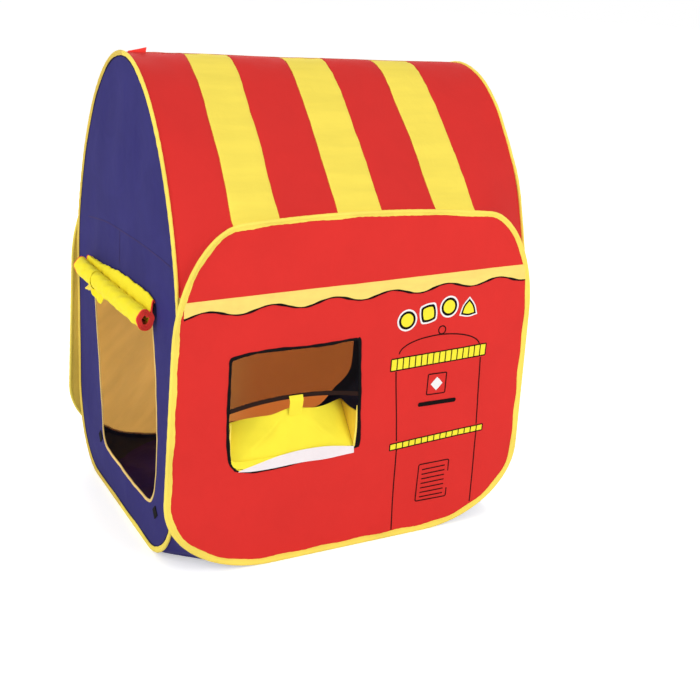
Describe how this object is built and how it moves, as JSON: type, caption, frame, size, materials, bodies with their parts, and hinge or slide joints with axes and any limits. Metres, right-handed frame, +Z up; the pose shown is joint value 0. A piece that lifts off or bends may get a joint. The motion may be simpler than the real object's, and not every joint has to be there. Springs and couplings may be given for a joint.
{
  "type": "play tent",
  "caption": "Pop-up play tent: arched ends, striped pitched roof, rolled-up side door, netted letter hatch; its sprung hoops fold flat about upright corners.",
  "frame": {"origin": "centre of the ground sheet, on the ground", "axes": "+X to the right as seen from the front, +Y from the front panel to the back, +Z up"},
  "size_m": [0.8981, 0.6996, 1.0315],
  "materials": {
    "red_cloth": "woven, matt",
    "yellow_cloth": "woven, matt",
    "pale_yellow_cloth": "woven, matt",
    "blue_cloth": "woven, matt",
    "navy_cloth": "woven, matt",
    "black_cloth": "woven, matt",
    "black_net": "open net",
    "white_cloth": "woven, matt",
    "spring_steel": "drawn"
  },
  "bodies": {
    "front_frame": {"front_panel": "red_cloth", "front_sleeve": "pale_yellow_cloth", "front_wire_hoop": "spring_steel", "front_stripe_1": "red_cloth", "front_stripe_2": "yellow_cloth", "front_stripe_3": "red_cloth", "front_stripe_4": "yellow_cloth", "front_stripe_5": "red_cloth", "front_stripe_6": "yellow_cloth", "front_stripe_7": "red_cloth", "front_left_gore": "blue_cloth", "front_right_gore": "blue_cloth", "floor_sheet": "navy_cloth", "valance": "pale_yellow_cloth", "window_border": "black_cloth", "window_net": "black_net", "net_band": "black_cloth", "hatch_gusset_left": "yellow_cloth", "hatch_gusset_right": "yellow_cloth", "hatch_sill_strip": "white_cloth"},
    "hatch": {"hatch_flap": "yellow_cloth", "hatch_tab": "yellow_cloth"},
    "left_end": {"left_panel": "blue_cloth", "left_sleeve": "pale_yellow_cloth", "left_wire_hoop": "spring_steel", "door_binding": "pale_yellow_cloth", "door_patch_front": "black_cloth", "door_patch_back": "black_cloth", "ridge_loop": "red_cloth"},
    "rolled_door": {"rolled_door": "yellow_cloth", "roll_tie": "yellow_cloth"},
    "right_end": {"right_panel": "blue_cloth", "right_sleeve": "pale_yellow_cloth", "right_wire_hoop": "spring_steel"},
    "back_frame": {"back_panel": "yellow_cloth", "back_sleeve": "pale_yellow_cloth", "back_wire_hoop": "spring_steel", "back_stripe_1": "red_cloth", "back_stripe_2": "yellow_cloth", "back_stripe_3": "red_cloth", "back_stripe_4": "yellow_cloth", "back_stripe_5": "red_cloth", "back_stripe_6": "yellow_cloth", "back_stripe_7": "red_cloth", "back_left_gore": "blue_cloth", "back_right_gore": "blue_cloth"}
  },
  "joints": [
    {"name": "left_fold", "type": "hinge", "parent": "front_frame", "child": "left_end", "pos_m": [-0.407, -0.3375, 0], "axis": [0, 0, 1], "range_deg": [-88, 88], "stiffness_Nm_per_rad": 0.5, "deforming": ["front_stripe_1", "front_stripe_2", "front_stripe_3", "front_stripe_4", "front_stripe_5", "front_stripe_6", "front_stripe_7", "back_stripe_1", "back_stripe_2", "back_stripe_3", "back_stripe_4", "back_stripe_5", "back_stripe_6", "back_stripe_7", "front_left_gore", "front_right_gore", "back_left_gore", "back_right_gore", "floor_sheet", "hatch_flap"]},
    {"name": "right_fold", "type": "hinge", "parent": "front_frame", "child": "right_end", "pos_m": [0.407, -0.3375, 0], "axis": [0, 0, 1], "range_deg": [-90, 90]},
    {"name": "back_fold", "type": "hinge", "parent": "left_end", "child": "back_frame", "pos_m": [-0.407, 0.3375, 0], "axis": [0, 0, 1], "range_deg": [-90, 90]},
    {"name": "hatch_hinge", "type": "hinge", "parent": "front_frame", "child": "hatch", "pos_m": [-0.1525, -0.3439, 0.2433], "axis": [-1, 0, 0], "range_deg": [0, 35], "deforming": ["hatch_gusset_left", "hatch_gusset_right", "hatch_tab"]},
    {"name": "door_roll_hinge", "type": "hinge", "parent": "left_end", "child": "rolled_door", "pos_m": [-0.4088, 0, 0.564], "axis": [0, 1, 0], "range_deg": [0, 75]}
  ],
  "couplings": [
    {"joint": "right_fold", "follows": "left_fold", "ratio": 1},
    {"joint": "back_fold", "follows": "left_fold", "ratio": -1}
  ]
}
